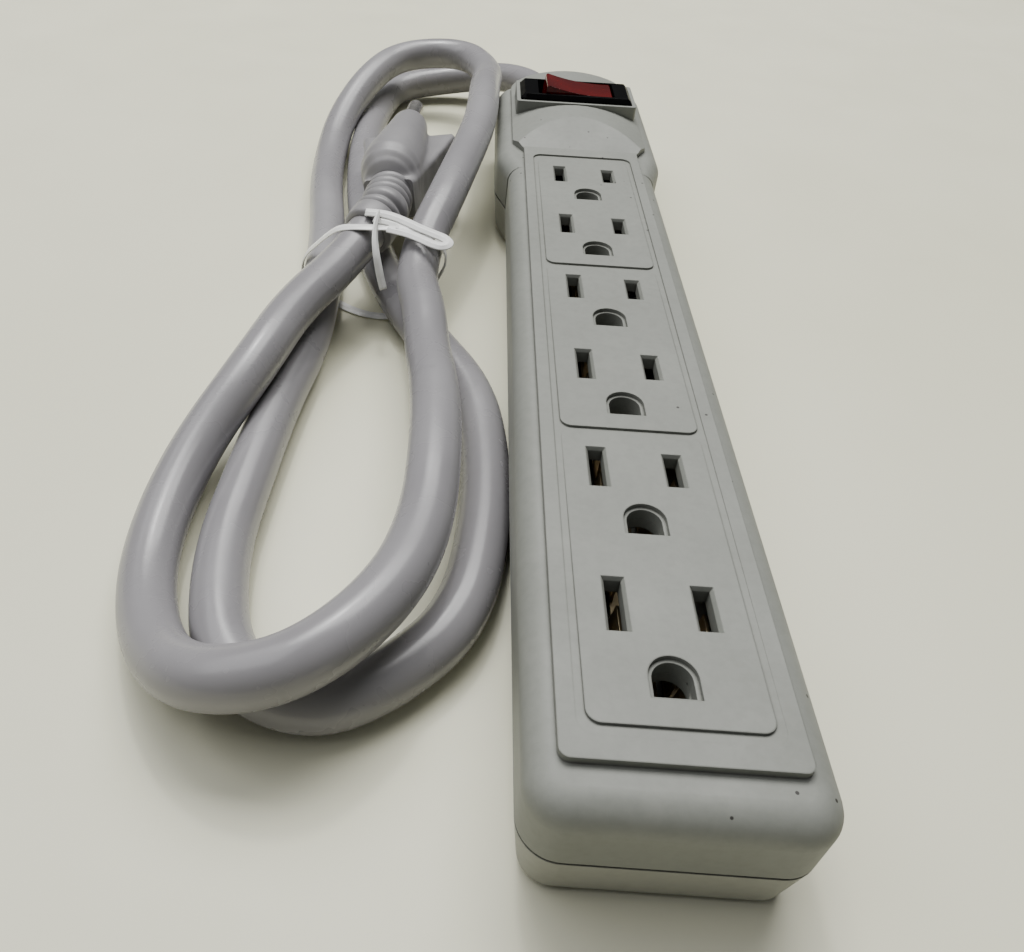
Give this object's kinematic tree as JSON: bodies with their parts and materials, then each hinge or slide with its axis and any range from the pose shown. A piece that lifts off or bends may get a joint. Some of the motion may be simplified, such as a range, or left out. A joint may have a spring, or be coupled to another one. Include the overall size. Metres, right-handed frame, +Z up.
{
  "type": "power strip",
  "caption": "Power strip with grounded outlets in a row, a lighted rocker switch at the cord end, and its cord tied in loops beside it.",
  "frame": {"origin": "middle of the case's footprint, on the table", "axes": "+Y along the case from the far outlet to the switch and cord end, +Z up through the outlet face, +X to the right seen from above with the switch away"},
  "size_m": [0.1091, 0.3044, 0.0329],
  "materials": {
    "case": "satin moulded",
    "black_plastic": "satin moulded",
    "red_lens": "clear red, glossy",
    "brass": "rolled",
    "copper": "rolled",
    "screw_steel": "zinc plated",
    "plated_blade": "nickel plated",
    "natural_nylon": "smooth",
    "lamp_glass": "clear",
    "resistor": "lacquered",
    "green_wire": "smooth",
    "white_wire": "smooth",
    "black_wire": "smooth",
    "grey_vinyl": "satin",
    "white_tie": "smooth"
  },
  "bodies": {
    "case": {"top_cover": "case", "bottom_cover": "case", "cover_screws": "screw_steel", "neutral_bus": "brass", "hot_bus": "brass", "ground_bus": "brass", "switch_housing": "black_plastic", "line_terminal": "brass", "load_terminal": "brass", "lamp_terminal": "brass", "ground_wire": "green_wire", "neutral_wire": "white_wire", "hot_line_wire": "black_wire", "hot_switched_wire": "black_wire", "lamp_wire": "white_wire", "cord_gland": "grey_vinyl", "cord_lead": "grey_vinyl", "cord_coil": "grey_vinyl", "plug_body": "grey_vinyl", "plug_relief": "grey_vinyl", "plug_blade_hot": "plated_blade", "plug_blade_neutral": "plated_blade", "plug_ground_pin": "plated_blade", "cord_tie": "white_tie"},
    "rocker": {"rocker": "red_lens", "contact_plunger": "natural_nylon", "plunger_spring": "screw_steel", "neon_lamp": "lamp_glass", "lamp_resistor": "resistor"},
    "see_saw": {"moving_contact": "copper"}
  },
  "joints": [
    {"name": "rocker_tilt", "type": "hinge", "parent": "case", "child": "rocker", "pos_m": [0, 0.0999, 0.0235], "axis": [0, 1, 0], "range_deg": [-14, 0]},
    {"name": "contact_tilt", "type": "hinge", "parent": "case", "child": "see_saw", "pos_m": [0, 0.0999, 0.0148], "axis": [0, 1, 0], "range_deg": [0, 8]}
  ],
  "couplings": [
    {"joint": "contact_tilt", "follows": "rocker_tilt", "ratio": -0.57143}
  ]
}
